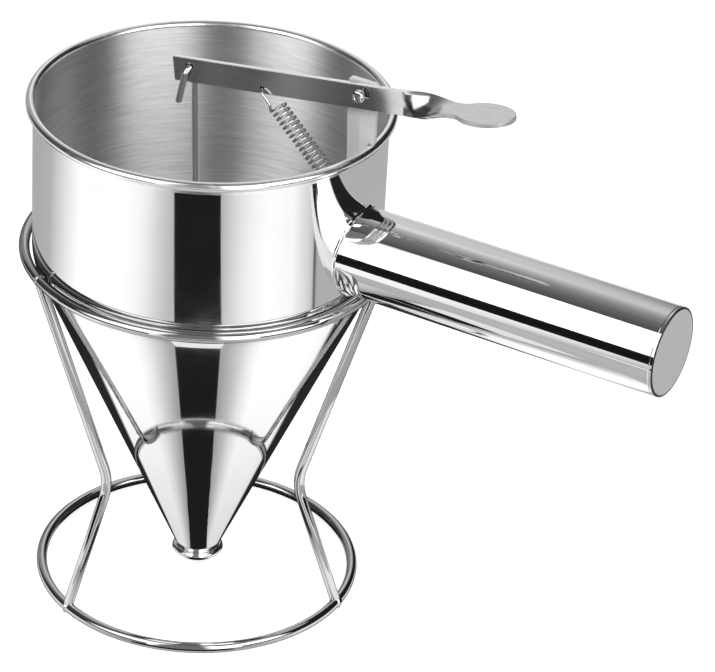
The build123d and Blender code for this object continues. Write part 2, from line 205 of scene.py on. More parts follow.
# Fineness of the meshes
lathe_steps = 256
small_steps = 64
wire_sides = 28
shoulder_steps = 24
weld_steps = 192
weld_rings = 14
oval_steps = 48
twist_cuts = 40
foot_cuts = 12
turn_steps = 28
same_point = 0.002 * MM
shortest_edge = 0.001 * MM
cut_margin = 0.0005 * MM

# Start of the noise that draws the lumps of the welds, so that every run draws the same ones
lump_seed = 1795699383
noise.seed_set(lump_seed)

# Camera, fitted to the photo's rim, shoulder, base ring and nozzle
camera_place = Vector((0.50105, -0.81798, 0.64781))
camera_right = Vector((0.86258, 0.50339, 0.05077))
camera_up = Vector((-0.29181, 0.41289, 0.8628))
camera_lens = 175.0
sensor_width = 36.0
camera_azimuth = math.atan2(camera_place.y, camera_place.x)

# Relations between those sizes
wall_inner = cup_radius - sheet
bead_radius = (rim_outer - wall_inner) / 2
cone_slope = (cup_radius - nozzle_radius) / (shoulder_height - nozzle_top)
cone_cos = 1 / math.hypot(1, cone_slope)
handle_bore = handle_radius - handle_wall
leg_sunk = 0.7 * wire_radius
spring_point = pivot + Vector((-spring_arm * math.cos(lever_slope) + spring_drop * math.sin(lever_slope), 0,
                               -spring_arm * math.sin(lever_slope) - spring_drop * math.cos(lever_slope)))
anchor_point = Vector((pivot.x - anchor_inset, bracket_front + bracket_thick / 2, bracket_foot + anchor_rise))


def cone_outer(height):
    """Outer radius of the cone at a height."""
    return nozzle_radius + (height - nozzle_top) * cone_slope


def cone_inner(height):
    """Inner radius of the cone at a height."""
    return cone_outer(height) - sheet / cone_cos


# Curves and meshes

def arc(middle, radius, start, end, steps=12):
    """Points of an arc in a plane, between two angles in degrees."""
    points = []
    for step in range(steps + 1):
        angle = math.radians(start + (end - start) * step / steps)
        points.append((middle[0] + radius * math.cos(angle), middle[1] + radius * math.sin(angle)))
    return points


def between(start, end, share):
    """A spoke turned from start towards end by a share of the angle between them."""
    sweep = start.angle(end)
    return (start * math.sin((1 - share) * sweep) + end * math.sin(share * sweep)) / math.sin(sweep)


def full_circle(steps):
    """Angles of even steps round a circle."""
    return [2 * math.pi * step / steps for step in range(steps)]


def rounded(points, radius, steps=12, closed=False):
    """A line through the points, with an arc of that radius at each corner."""
    points = [Vector(point) for point in points]
    count = len(points)
    corners = range(count) if closed else range(1, count - 1)
    line = [] if closed else [points[0]]
    for index in corners:
        corner = points[index]
        before = (points[index - 1] - corner).normalized()
        after = (points[(index + 1) % count] - corner).normalized()
        half = before.angle(after) / 2
        middle = corner + (before + after).normalized() * (radius / math.sin(half))
        start = corner + before * (radius / math.tan(half)) - middle
        end = corner + after * (radius / math.tan(half)) - middle
        line += [middle + between(start, end, step / steps) for step in range(steps + 1)]
    if not closed:
        line.append(points[-1])
    return line


def grid_mesh(name, rings, finishes=None, close_rings=True, cap_ends=False):
    """A mesh from rings of points, each joined to the next, and the last to the first if close_rings."""
    sides = len(rings[0])
    points = [point for ring in rings for point in ring]
    faces = []
    marks = []
    spans = len(rings) if close_rings else len(rings) - 1
    for span in range(spans):
        here = span * sides
        there = (span + 1) % len(rings) * sides
        for side in range(sides):
            after = (side + 1) % sides
            faces.append((here + side, here + after, there + after, there + side))
            marks.append(finishes[span] if finishes else 0)
    if cap_ends:
        faces.append(tuple(range(sides)))
        faces.append(tuple((len(rings) - 1) * sides + side for side in reversed(range(sides))))
        marks.extend((0, 0))
    mesh = bpy.data.meshes.new(name)
    mesh.from_pydata(points, [], faces)
    mesh.polygons.foreach_set("material_index", marks)
    return clean(mesh)


def clean(mesh, sharp=35):
    """Joins points that lie on each other, turns faces outwards and smooths all but the sharp edges."""
    shape = bmesh.new()
    shape.from_mesh(mesh)
    bmesh.ops.remove_doubles(shape, verts=shape.verts, dist=same_point)
    bmesh.ops.dissolve_degenerate(shape, edges=shape.edges, dist=shortest_edge)
    bmesh.ops.recalc_face_normals(shape, faces=shape.faces)
    shape.to_mesh(mesh)
    shape.free()
    mesh.shade_smooth()
    mesh.set_sharp_from_angle(angle=math.radians(sharp))
    return mesh


def lathe(name, profile, place=Matrix.Identity(4), steps=lathe_steps):
    """Turns a closed profile of (radius, height, finish) about the local Z axis of place."""
    rings = []
    for radius, height, _ in profile:
        rings.append([place @ Vector((radius * math.cos(turn), radius * math.sin(turn), height))
                      for turn in full_circle(steps)])
    return grid_mesh(name, rings, [finish for _, _, finish in profile])


def finish_as(points, finish=0):
    """Gives points of a profile the number of their finish."""
    return [(point[0], point[1], finish) for point in points]


def tube(name, path, radius, sides, end_round=0.35):
    """A round wire along a path, with its ends rounded by a share of its radius."""
    path = [Vector(point) for point in path]
    count = len(path)
    ways = []
    for index in range(count):
        before = path[max(index - 1, 0)]
        after = path[min(index + 1, count - 1)]
        ways.append((after - before).normalized())
    side = ways[0].orthogonal().normalized()
    frames = []
    for way in ways:
        side = (side - way * side.dot(way)).normalized()
        frames.append((side.copy(), way.cross(side)))
    loops = [wire_ring(middle, *axes, radius, sides) for middle, axes in zip(path, frames)]
    rounding = radius * end_round
    start, end = [], []
    for angle in (math.radians(30), math.radians(60), math.radians(90)):
        shrunk = radius - rounding * (1 - math.cos(angle))
        push = rounding * math.sin(angle)
        start.insert(0, wire_ring(path[0] - ways[0] * push, *frames[0], shrunk, sides))
        end.append(wire_ring(path[-1] + ways[-1] * push, *frames[-1], shrunk, sides))
    return grid_mesh(name, start + loops + end, close_rings=False, cap_ends=True)


def wire_ring(middle, first, second, radius, sides):
    """A circle of points across a wire."""
    return [middle + first * (radius * math.cos(turn)) + second * (radius * math.sin(turn))
            for turn in full_circle(sides)]


def in_scene(name, data):
    """An object of the data, put in the scene."""
    made = bpy.data.objects.new(name, data)
    bpy.context.scene.collection.objects.link(made)
    return made


def plate(name, outline, holes, thickness, edge):
    """A flat plate in the XY plane with holes and rounded edges, its middle at z = 0."""
    curve = bpy.data.curves.new(name, "CURVE")
    curve.dimensions = "2D"
    curve.fill_mode = "BOTH"
    curve.extrude = thickness / 2 - edge
    curve.bevel_depth = edge
    curve.bevel_resolution = 2
    curve.offset = -edge
    for loop in [outline, *holes]:
        spline = curve.splines.new("POLY")
        spline.points.add(len(loop) - 1)
        for point, place in zip(spline.points, loop):
            point.co = (place[0], place[1], 0, 1)
        spline.use_cyclic_u = True
    drawn = in_scene(name, curve)
    bpy.context.view_layer.update()
    mesh = bpy.data.meshes.new_from_object(drawn.evaluated_get(bpy.context.evaluated_depsgraph_get()))
    bpy.data.objects.remove(drawn)
    bpy.data.curves.remove(curve)
    return mesh


def bend_plate(mesh, cuts, bend):
    """Cuts a plate across X at each place, then moves its points to bend(point)."""
    shape = bmesh.new()
    shape.from_mesh(mesh)
    bmesh.ops.remove_doubles(shape, verts=shape.verts, dist=same_point)
    for cut in cuts:
        everything = shape.verts[:] + shape.edges[:] + shape.faces[:]
        bmesh.ops.bisect_plane(
            shape, geom=everything, plane_co=(cut, 0, 0), plane_no=(1, 0, 0), dist=cut_margin)
    for vertex in shape.verts:
        vertex.co = bend(vertex.co)
    shape.to_mesh(mesh)
    shape.free()
    return clean(mesh)


def fillet_rings(root, main_way, main_radius, branch_way, branch_radius, ball, steps, across):
    """Rings of a hollow fillet between a round wall and a branch that leaves it squarely.

    A ball rolls round the corner: the first ring lies on the wall and the last on the branch.
    """
    third = branch_way.cross(main_way)
    rings = [[] for _ in range(across + 1)]
    for turn in full_circle(steps):
        along = (branch_radius + ball) * math.cos(turn)
        aside = (branch_radius + ball) * math.sin(turn)
        out = math.sqrt((main_radius + ball) ** 2 - aside**2)
        middle = root + main_way * along + third * aside + branch_way * out
        on_wall = -(third * aside + branch_way * out).normalized()
        on_branch = -(main_way * math.cos(turn) + third * math.sin(turn))
        for index, ring in enumerate(rings):
            ring.append(middle + between(on_wall, on_branch, index / across) * ball)
    return rings


def lumpy(point, size, amount):
    """A point moved a little by soft noise."""
    return point + noise.noise_vector(point / size) * amount


def joined(name, meshes):
    """Several meshes as one."""
    shape = bmesh.new()
    for mesh in meshes:
        shape.from_mesh(mesh)
        bpy.data.meshes.remove(mesh)
    whole = bpy.data.meshes.new(name)
    shape.to_mesh(whole)
    shape.free()
    return clean(whole)


def piece(mesh, finishes, body, slot, *nodes):
    """An object of the mesh, with its finishes, that rides on a body in place of CAD nodes."""
    made = in_scene(mesh.name, mesh)
    for finish in finishes:
        mesh.materials.append(finish)
    if body:
        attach(made, body)
    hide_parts(*nodes)
    return made


def even_shading(made):
    """Keeps large flat faces flat-shaded beside their rounded edges."""
    modifier = made.modifiers.new("even_shading", "WEIGHTED_NORMAL")
    modifier.keep_sharp = True


# Finishes

noise_low, noise_high = 0.3, 0.7
quarter_turn = 0.25


class Finish:
    """A metal whose colour, roughness and relief come from its own nodes."""

    def __init__(self, name, anisotropic=0.0):
        self.material = bpy.data.materials.new(name)
        self.material.use_nodes = True
        self.tree = self.material.node_tree
        self.shader = self.tree.nodes["Principled BSDF"]
        self.shader.inputs["Metallic"].default_value = 1.0
        self.shader.inputs["Anisotropic"].default_value = anisotropic
        self.shader.inputs["Anisotropic Rotation"].default_value = quarter_turn if anisotropic else 0.0

    def node(self, kind, **inputs):
        """A node with values on its sockets."""
        made = self.tree.nodes.new(kind)
        for socket, value in inputs.items():
            made.inputs[socket.replace("_", " ")].default_value = value
        return made

    def link(self, source, target):
        self.tree.links.new(source, target)

    def grain(self, stretch, detail=4.0, rough=0.6):
        """Noise on the object's own coordinates, in features per metre along each axis."""
        place = self.node("ShaderNodeTexCoord")
        mapping = self.node("ShaderNodeMapping", Scale=stretch)
        grain = self.node("ShaderNodeTexNoise", Scale=1.0, Detail=detail, Roughness=rough)
        self.link(place.outputs["Object"], mapping.inputs["Vector"])
        self.link(mapping.outputs["Vector"], grain.inputs["Vector"])
        return grain.outputs["Fac"]

    def spread(self, value, lowest, highest):
        """The noise's middle range, spread between two values."""
        mapped = self.node(
            "ShaderNodeMapRange", From_Min=noise_low, From_Max=noise_high, To_Min=lowest, To_Max=highest)
        self.link(value, mapped.inputs["Value"])
        return mapped.outputs["Result"]

    def colour(self, value, dark, light):
        """Base colour between two greys."""
        ramp = self.node("ShaderNodeValToRGB")
        for element, position, level in zip(ramp.color_ramp.elements, (noise_low, noise_high), (dark, light)):
            element.position = position
            element.color = (*grey(level), 1)
        self.link(value, ramp.inputs["Fac"])
        self.link(ramp.outputs["Color"], self.shader.inputs["Base Color"])

    def rough(self, value, lowest, highest):
        """Roughness between two values."""
        self.link(self.spread(value, lowest, highest), self.shader.inputs["Roughness"])

    def relief(self, value, depth, strength):
        """Fine bumps that follow the noise."""
        bump = self.node("ShaderNodeBump", Strength=strength, Distance=depth)
        self.link(value, bump.inputs["Height"])
        self.link(bump.outputs["Normal"], self.shader.inputs["Normal"])

    def brushed_round(self, axis):
        """Turns the stretched highlights across brush lines that run round an axis."""
        tangent = self.node("ShaderNodeTangent")
        tangent.direction_type = "RADIAL"
        tangent.axis = axis
        self.link(tangent.outputs["Tangent"], self.shader.inputs["Tangent"])


def grey(level):
    """A neutral steel grey, a little cool."""
    return (level, level, level * 1.005)


def mirror_steel(name, level, stretch=(60, 60, 60), roughest=0.07, rim=1.0, smudges=0.03):
    """Polished stainless: nearly a mirror, with faint smudges and polishing lines. rim dims its outlines."""
    finish = Finish(name)
    finish.shader.inputs["Specular Tint"].default_value = (rim, rim, rim, 1)
    smudge = finish.grain(stretch)
    finish.colour(smudge, level - smudges, level)
    finish.rough(smudge, 0.03, roughest)
    finish.relief(finish.grain((180, 180, 900), detail=2.0), 0.02 * MM, 0.08)
    return finish.material


def brushed_inside():
    """The inside of the cup: fine brushing that runs round the axis."""
    finish = Finish("brushed_inside", anisotropic=1.0)
    lines = finish.grain((70, 70, 1500), detail=6.0, rough=0.75)
    finish.colour(lines, 0.70, 0.98)
    finish.rough(lines, 0.42, 0.54)
    finish.relief(lines, 0.05 * MM, 0.25)
    finish.brushed_round("Z")
    return finish.material


def grained_steel(name, stretch, detail, levels, roughness, depth=0.03, strength=0.08):
    """Duller steel whose colour, roughness and relief, of a depth in mm, follow one grain."""
    finish = Finish(name)
    grain = finish.grain(stretch, detail)
    finish.colour(grain, *levels)
    finish.rough(grain, *roughness)
    if depth:
        finish.relief(grain, depth * MM, strength)
    return finish.material


def brushed_plate():
    """Bracket plate, brushed across, so that its highlights stretch upright."""
    finish = Finish("bracket_satin", anisotropic=0.9)
    lines = finish.grain((60, 60, 1500), detail=5.0)
    finish.shader.inputs["Metallic"].default_value = 0.1
    finish.colour(lines, 0.90, 0.96)
    finish.rough(lines, 0.44, 0.56)
    finish.brushed_round("Y")
    return finish.material


mirror_cup = mirror_steel("mirror_cup", 0.82)
mirror_handle = mirror_steel("mirror_handle", 0.84, stretch=(9, 420, 420), smudges=0.12)
wire_chrome = mirror_steel("wire_chrome", 0.62, stretch=(120, 120, 120), roughest=0.09, rim=0.15)
rod_wire = mirror_steel("rod_wire", 0.84, stretch=(400, 400, 60), roughest=0.14)
spring_steel = mirror_steel("spring_steel", 0.86, stretch=(300, 300, 300), roughest=0.08, rim=0.0)
rivet_steel = mirror_steel("rivet_steel", 0.86, stretch=(700, 700, 700), roughest=0.16)
inside = brushed_inside()

# Rolled strip, with a grain along its length
strip_grain = (25, 1200, 1200)
lever_satin = grained_steel("lever_satin", strip_grain, 5.0, (0.56, 0.64), (0.12, 0.20))
lever_edge = grained_steel("lever_edge", strip_grain, 5.0, (0.52, 0.60), (0.36, 0.46))
rim_satin = grained_steel("rim_satin", strip_grain, 5.0, (0.84, 0.92), (0.16, 0.26))
bracket_satin = brushed_plate()

# Near-black painted shade on the cap's seam, also a dark joint, and on the lever's hole walls, an even dull
# end face, tool marks round the axis, and lumpy welds
seam_and_hole_painted_shade = grained_steel("seam_and_hole_painted_shade", (1500, 1500, 1500), 3.0, (0.03, 0.09), (0.4, 0.6), depth=0)
cap_dull = grained_steel("dull_cap", (900, 900, 900), 5.0, (0.74, 0.84), (0.40, 0.55), strength=0.2)
stopper_turned = grained_steel("turned_steel", (30, 30, 4000), 3.0, (0.62, 0.74), (0.16, 0.30), strength=0.3)
weld_dull = grained_steel("weld_steel", (700, 700, 700), 4.0, (0.34, 0.66), (0.06, 0.20), 0.1, 0.3)


# Cup, cone and nozzle

def make_cup():
    """Straight wall whose rim is rolled outwards into a satin bead."""
    bead_height = rim_top - bead_radius
    bead_middle = (wall_inner + bead_radius, bead_height)
    meet = math.degrees(math.acos((cup_radius - bead_middle[0]) / bead_radius))
    profile = finish_as([(wall_inner, seam_height)], 1)
    profile += finish_as(arc(bead_middle, bead_radius, 180, -meet, 40), 2)
    profile += finish_as([(cup_radius, bead_height - 2 * bead_radius)], 0)
    profile += finish_as([(cup_radius, seam_height)], 1)
    mesh = lathe("cup_wall", profile)
    piece(mesh, [mirror_cup, inside, rim_satin], "funnel", "cup_steel", "cup_barrel")


def make_cone():
    """Rounded shoulder and cone, one sheet thick."""
    inner_corner = shoulder_height + (sheet / cone_cos - sheet) / cone_slope
    outer = [(nozzle_radius, nozzle_top), (cup_radius, shoulder_height), (cup_radius, seam_height)]
    inner = [(wall_inner, seam_height), (wall_inner, inner_corner), (cone_inner(nozzle_top), nozzle_top)]
    profile = finish_as(rounded(outer, shoulder_radius, shoulder_steps), 0)
    profile += finish_as(rounded(inner, shoulder_radius - sheet, shoulder_steps), 1)
    piece(lathe("cone_shell", profile), [mirror_cup, inside], "funnel", "cup_steel", "funnel_cone")


def make_nozzle():
    """Short outlet with a rolled lip."""
    lip_middle = (lip_outer - lip_bead, nozzle_low + lip_bead)
    bore_start = nozzle_top - (cone_inner(nozzle_top) - nozzle_bore) / cone_slope
    meet_height = lip_middle[1] + lip_bead
    meet = math.degrees(math.acos((cone_outer(meet_height) - lip_middle[0] - lip_sink) / lip_bead))
    profile = finish_as([(cone_inner(nozzle_top), nozzle_top), (nozzle_bore, bore_start)], 1)
    profile += finish_as(arc((nozzle_bore + bore_round, nozzle_low + bore_round), bore_round, 180, 270, 6), 0)
    profile += finish_as(arc(lip_middle, lip_bead, -90, meet, 18), 0)
    profile += finish_as([(nozzle_radius, nozzle_top)], 0)
    piece(lathe("nozzle_lip", profile), [mirror_cup, inside], "funnel", "nozzle_steel", "nozzle_ring")


# Handle

handle_axis = Matrix.Translation((0, 0, handle_height)) @ Matrix.Rotation(math.radians(90), 4, "Y")


def make_handle():
    """Plain tube, a little eased at its far edge."""
    outer = [(handle_radius, handle_start), (handle_radius, cap_start - handle_ease),
             (handle_radius - handle_ease, cap_start)]
    inner = [(handle_bore, cap_start), (handle_bore, handle_start)]
    mesh = lathe("handle_barrel", finish_as(outer + inner), handle_axis)
    piece(mesh, [mirror_handle], "funnel", "handle_steel", "handle_tube")


def make_cap():
    """End disc: a rounded edge and a seam groove round it, near black as a dark joint with painted shade, and
    a dull face.
    """
    edge_middle = (handle_radius - cap_edge, cap_end - cap_edge)
    groove = (handle_radius - cap_edge - cap_groove, cap_end)
    profile = finish_as([(0, cap_start), (handle_radius - handle_ease, cap_start),
                         (handle_radius, cap_start + handle_ease)], 0)
    # The rounded edge and the seam groove take the near-black painted shade.
    profile += finish_as(arc(edge_middle, cap_edge, 0, 90, 8), 2)
    profile += finish_as(arc(groove, cap_groove, 0, -180, 8), 2)
    profile += finish_as([(groove[0] - cap_groove, cap_end), (0, cap_end)], 1)
    mesh = lathe("handle_cap", profile, handle_axis)
    piece(mesh, [mirror_handle, cap_dull, seam_and_hole_painted_shade], "funnel", "cap_steel", "handle_end_cap")


def make_weld():
    """Root of the tube: a narrow polished fillet, lumpy at its top and a little at its bottom."""
    root = Vector((0, 0, handle_height))
    up, out = Vector((0, 0, 1)), Vector((1, 0, 0))
    rings = fillet_rings(root, up, cup_radius, out, handle_radius, weld_ball, weld_steps, weld_rings)
    turns = full_circle(weld_steps)
    for index, ring in enumerate(rings):
        share = math.sin(math.pi * index / weld_rings)
        for step, point in enumerate(ring):
            upward = math.cos(turns[step])
            lump = weld_lump * (max(0.0, upward) ** 2 + 0.5 * max(0.0, -upward) ** 4)
            ring[step] = lumpy(point, weld_lump_size, lump * share)
    for radius, reach in ((handle_radius, handle_start), (handle_bore, handle_start), (handle_bore, None)):
        ring = []
        for turn in turns:
            aside = -radius * math.sin(turn)
            end = math.sqrt(cup_radius**2 - aside**2) if reach is None else reach
            ring.append(Vector((end, aside, handle_height + radius * math.cos(turn))))
        rings.append(ring)
    for ring in rings:
        for point in ring:
            point.z = max(point.z, weld_floor)
    mesh = grid_mesh("handle_fillet", rings)
    piece(mesh, [mirror_handle], "funnel", "handle_steel", "handle_weld")


# Lever, bracket and pivot

strip_along = Vector((math.cos(lever_slope), 0, math.sin(lever_slope)))
strip_upright = Vector((-math.sin(lever_slope), 0, math.cos(lever_slope)))


def circle(middle, radius, steps=32):
    """Outline of a round hole."""
    return arc(middle, radius, 0, 360, steps)[:-1]


def lever_outline():
    """The strip laid flat, from its square inner end to the oval pad."""
    half = strip_width / 2
    twist_end = twist_start + twist_length
    pad_middle = twist_end + neck_length + pad_length / 2
    neck = neck_width / 2
    meet = math.asin(neck / (pad_width / 2))
    oval_start = math.pi - meet
    oval = []
    for step in range(oval_steps + 1):
        angle = oval_start - 2 * oval_start * step / oval_steps
        oval.append(Vector((pad_middle + math.cos(angle) * pad_length / 2, math.sin(angle) * pad_width / 2)))
    waist_line = [(twist_end - waist_lead, half), (twist_end, half), (twist_end + waist_slope, neck),
                  (oval[0].x, neck)]
    waist_high = rounded(waist_line, waist_corner, 6)
    waist_high = waist_high[:-1] + smooth_waist(Vector((oval[0].x, neck)), oval)
    waist_low = [Vector((point.x, -point.y)) for point in waist_high]
    tail = rounded([(-lever_tail + strip_width, -half), (-lever_tail, -half), (-lever_tail, half),
                    (-lever_tail + strip_width, half)], strip_round, 6)
    kept = [point for point in oval if point.x > waist_high[-1].x]
    return [*tail, *waist_high, *kept, *reversed(waist_low)]


def smooth_waist(corner, oval):
    """Round hollow between the neck and the pad's oval."""
    entry = corner - Vector((waist_round, 0))
    leave = next(point for point in oval if (point - corner).length > waist_round)
    return [Vector(point) for point in geometry.interpolate_bezier(
        entry, corner.lerp(entry, waist_pull), corner.lerp(leave, waist_pull), leave, 9)]


def lever_bend(point):
    """Place of a point of the flat strip on the twisted lever."""
    along, across, out = point
    share = min(1.0, max(0.0, (along - twist_start) / twist_length))
    eased = share * share * (3 - 2 * share)
    turn = twist_turn * (share + eased) / 2
    side = strip_upright * math.cos(turn) + Vector((0, 1, 0)) * math.sin(turn)
    return pivot + strip_along * along + side * across + strip_along.cross(side) * out


def make_lever():
    """Strip on edge with holes whose walls are painted near black as shade, a bright top edge, the twist and
    the thumb pad, whose edges are duller.
    """
    steep, flat = 0.5, 0.99
    inside_edge = strip_width / 2 - strip_edge
    slot_box = [(slot_reach + x * slot_width / 2, slot_rise + y * slot_length / 2)
                for x, y in ((-1, -1), (1, -1), (1, 1), (-1, 1))]
    holes = [circle((0, 0), rivet_hole), circle((-hook_arm, hook_rise), hook_hole),
             circle((-spring_arm, -spring_drop), spring_hole), rounded(slot_box, slot_corner, 4, closed=True)]
    blank = plate("thumb_lever", lever_outline(), holes, strip_thick, strip_edge)
    finishes = [lever_satin, seam_and_hole_painted_shade, lever_edge, rivet_steel]
    for face in blank.polygons:
        place, tilt = face.center, abs(face.normal.z)
        # Hole walls take the near-black painted shade; the square end keeps the satin.
        if tilt < steep and abs(place.y) < inside_edge and place.x < twist_start:
            face.material_index = 0 if place.x < -lever_tail + strip_edge else 1
        elif tilt < flat and place.x > twist_start:
            face.material_index = 2
        elif face.normal.y > steep:
            face.material_index = 3
    cuts = [twist_start + twist_length * step / twist_cuts for step in range(twist_cuts + 1)]
    mesh = bend_plate(blank, cuts, lever_bend)
    even_shading(piece(mesh, finishes, "lever", "lever_steel", "release_lever"))


def make_bracket():
    """Upright plate on the inside of the wall, wider above the rim, with a foot bent along the wall."""
    wall_edge = math.sqrt(wall_inner**2 - (bracket_front + bracket_thick) ** 2)
    knee = pivot.z - strip_width
    step = rim_top + bracket_rim_gap
    top = rounded([(bracket_left, knee), (bracket_left, bracket_top), (bracket_right, bracket_top),
                   (bracket_right, step)], bracket_corner, 8)
    outline = [Vector((bracket_left + bracket_taper, bracket_foot)), *top,
               Vector((wall_edge, step)), Vector((wall_edge, bracket_foot))]
    holes = [circle((pivot.x, pivot.z), rivet_radius), circle((anchor_point.x, anchor_point.z), spring_hole)]
    upright = plate("bracket_upright", outline, holes, bracket_thick, strip_edge)
    middle_y = bracket_front + bracket_thick / 2
    upright = bend_plate(upright, [], lambda point: Vector((point.x, middle_y - point.z, point.y)))
    foot_radius = wall_inner - bracket_thick / 2
    foot_low = bracket_foot + flange_lift
    foot_top = foot_low + flange_height
    foot_end = bracket_front + flange_width
    foot_box = [(bracket_front, foot_low), (foot_end, foot_low),
                (foot_end, foot_top), (bracket_front, foot_top)]
    foot_outline = rounded(foot_box, flange_corner, 5, closed=True)
    foot = plate("bracket_foot", foot_outline, [], bracket_thick, strip_edge)

    def along_wall(point):
        turn = math.asin(point.x / foot_radius)
        out = foot_radius + point.z
        return Vector((out * math.cos(turn), out * math.sin(turn), point.y))

    cuts = [bracket_front + flange_width * cut / foot_cuts for cut in range(1, foot_cuts)]
    mesh = joined("bracket_plate", [upright, bend_plate(foot, cuts, along_wall)])
    even_shading(piece(mesh, [bracket_satin], "funnel", "bracket_steel", "lever_bracket"))


pivot_axis = Matrix.Translation(pivot) @ Matrix.Rotation(math.radians(90), 4, "X")


def make_rivet():
    """Peened rivet: a low dome with a ring pressed round its middle at each end of the shank."""
    front = strip_thick / 2 + side_play
    back = -(bracket_front + bracket_thick)
    shares = [(1, 0), (1, 0.35), (0.9, 0.75), (0.68, 0.97), (0.5, 1), (0.44, 0.84), (0.36, 0.8), (0.2, 0.88),
              (0, 0.9)]
    dome = [(across * rivet_head, up * rivet_height) for across, up in shares]
    profile = [(radius, back - rise) for radius, rise in reversed(dome)]
    profile += [(rivet_radius, back), (rivet_radius, front)]
    profile += [(radius, front + rise) for radius, rise in dome]
    mesh = lathe("rivet_peened", finish_as(profile), pivot_axis, steps=small_steps)
    piece(mesh, [rivet_steel], "funnel", "rivet_steel", "pivot_rivet")


def make_washer():
    """Thin washer with eased edges between the lever and the bracket."""
    near = washer_thick - bracket_front
    far = -bracket_front
    near_edge, far_edge = near - washer_ease, far + washer_ease
    hole = rivet_radius + washer_play
    inner, outer = hole + washer_ease, washer_radius - washer_ease
    profile = [(hole, near_edge), (inner, near), (outer, near), (washer_radius, near_edge),
               (washer_radius, far_edge), (outer, far), (inner, far), (hole, far_edge)]
    mesh = lathe("washer_disc", finish_as(profile), pivot_axis, steps=small_steps)
    piece(mesh, [rivet_steel], "funnel", "rivet_steel", "pivot_washer")


# Rod, stopper and spring

def make_rod():
    """Wire hooked through the lever's hole, leaning in to the nozzle."""
    aside = Vector((0, rod_offset, 0))
    tail_end = hook_point - Vector((tail_lean, rod_offset, tail_drop))
    corners = [socket_bottom, hook_point + aside, hook_point - aside, tail_end]
    mesh = tube("stopper_rod", rounded(corners, rod_bend, 14), rod_radius, wire_sides)
    piece(mesh, [rod_wire], "plunger", "rod_steel", "plunger_rod")


def make_stopper():
    """Turned plug with a cone seat, a domed top and a boss round the rod."""
    seat_low = stopper_low + stopper_nose
    seat_high = seat_low + stopper_seat
    dome_top = seat_high + stopper_dome
    dome = [(boss_radius + (stopper_radius - boss_radius) * across, seat_high + stopper_dome * up)
            for across, up in arc((0, 0), 1, 0, 90)]
    seat_radius = cone_inner(seat_low) - stopper_gap / cone_cos
    profile = [(0, stopper_low), (stopper_nose_radius, stopper_low), (seat_radius, seat_low)]
    profile += dome
    profile += [(boss_radius, dome_top), (boss_radius, stopper_top - stopper_ease),
                (boss_radius - stopper_ease, stopper_top), (0, stopper_top)]
    mesh = lathe("stopper_body", finish_as(profile), steps=128)
    piece(mesh, [stopper_turned], "plunger", "stopper_steel", "stopper_plug")


def spring_path():
    """Middle line of the spring's wire, from the lever's hole to the bracket's hole."""
    span = anchor_point - spring_point
    way = span.normalized()
    side = (Vector((0, 1, 0)) - way * way.y).normalized()
    rise = way.cross(side)
    pitch = (span.length - hook_top - hook_low) / coil_turns

    def bow(middle, start, end, out):
        return [middle + side * across + out * beyond
                for across, beyond in arc((0, 0), coil_radius, start, end, 16)]

    def coil(turned):
        swing = math.radians(turned + 180)
        along = hook_top + pitch * turned / 360
        place = spring_point + way * along + (side * math.cos(swing) + rise * math.sin(swing)) * coil_radius
        climb = way * (pitch / (2 * math.pi * coil_radius))
        return place, (rise * math.cos(swing) - side * math.sin(swing) + climb).normalized()

    def lift(start, start_way, end, end_way):
        reach = (end - start).length * lift_pull
        return geometry.interpolate_bezier(start, start + start_way * reach, end - end_way * reach, end, 10)

    top_middle = spring_point + way * coil_radius
    low_middle = anchor_point - way * coil_radius
    first_place, first_way = coil(coil_lift)
    last_turn = 360 * coil_turns - coil_lift
    last_place, last_way = coil(last_turn)
    coil_start = spring_point + way * (hook_top - coil_radius) - side * coil_radius
    coil_end = anchor_point - way * (hook_low - coil_radius) - side * coil_radius
    steps = coil_turns * turn_steps
    path = [top_middle + side * coil_radius + way * spring_tail]
    path += bow(top_middle, 0, 180, -way)
    path += lift(coil_start, way, first_place, first_way)
    path += [coil(coil_lift + (last_turn - coil_lift) * step / steps)[0] for step in range(1, steps)]
    path += lift(last_place, last_way, coil_end, way)
    path += bow(low_middle, 180, 0, way)
    path.append(low_middle + side * coil_radius - way * spring_tail)
    return path


def make_spring():
    """Coiled spring with a hook at each end."""
    mesh = tube("spring_coil", spring_path(), spring_wire, sides=12)
    made = piece(mesh, [spring_steel], None, "spring_steel", "return_spring")
    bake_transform(made)


# Stand

def make_ring(name, node, radius, height):
    """Ring of round wire."""
    profile = finish_as(circle((radius, height), wire_radius, wire_sides))
    piece(lathe(name, profile), [wire_chrome], "stand", "stand_wire", node)


def around(radius, azimuth, height):
    """A point round the funnel's axis."""
    turn = math.radians(azimuth)
    return Vector((radius * math.cos(turn), radius * math.sin(turn), height))


def leg_line(azimuths):
    """Middle line of a leg, from the base ring over the knee to the top ring."""
    base_azimuth, top_azimuth = azimuths
    knee_azimuth = base_azimuth + (top_azimuth - base_azimuth) * knee_height / top_ring_height
    corners = [around(base_ring_radius, base_azimuth, wire_radius),
               around(knee_radius, knee_azimuth, knee_height),
               around(top_ring_radius, top_azimuth, top_ring_height)]
    return rounded(corners, knee_bend, 20)


def make_leg(name, azimuths):
    """Bent wire whose two ends lie inside the rings."""
    line = leg_line(azimuths)
    line[0] = line[0] + (line[1] - line[0]).normalized() * leg_sunk
    line[-1] = line[-1] + (line[-2] - line[-1]).normalized() * leg_sunk
    mesh = tube("leg_" + name, line, leg_radius, wire_sides)
    piece(mesh, [wire_chrome], "stand", "stand_wire", "stand_leg_" + name)


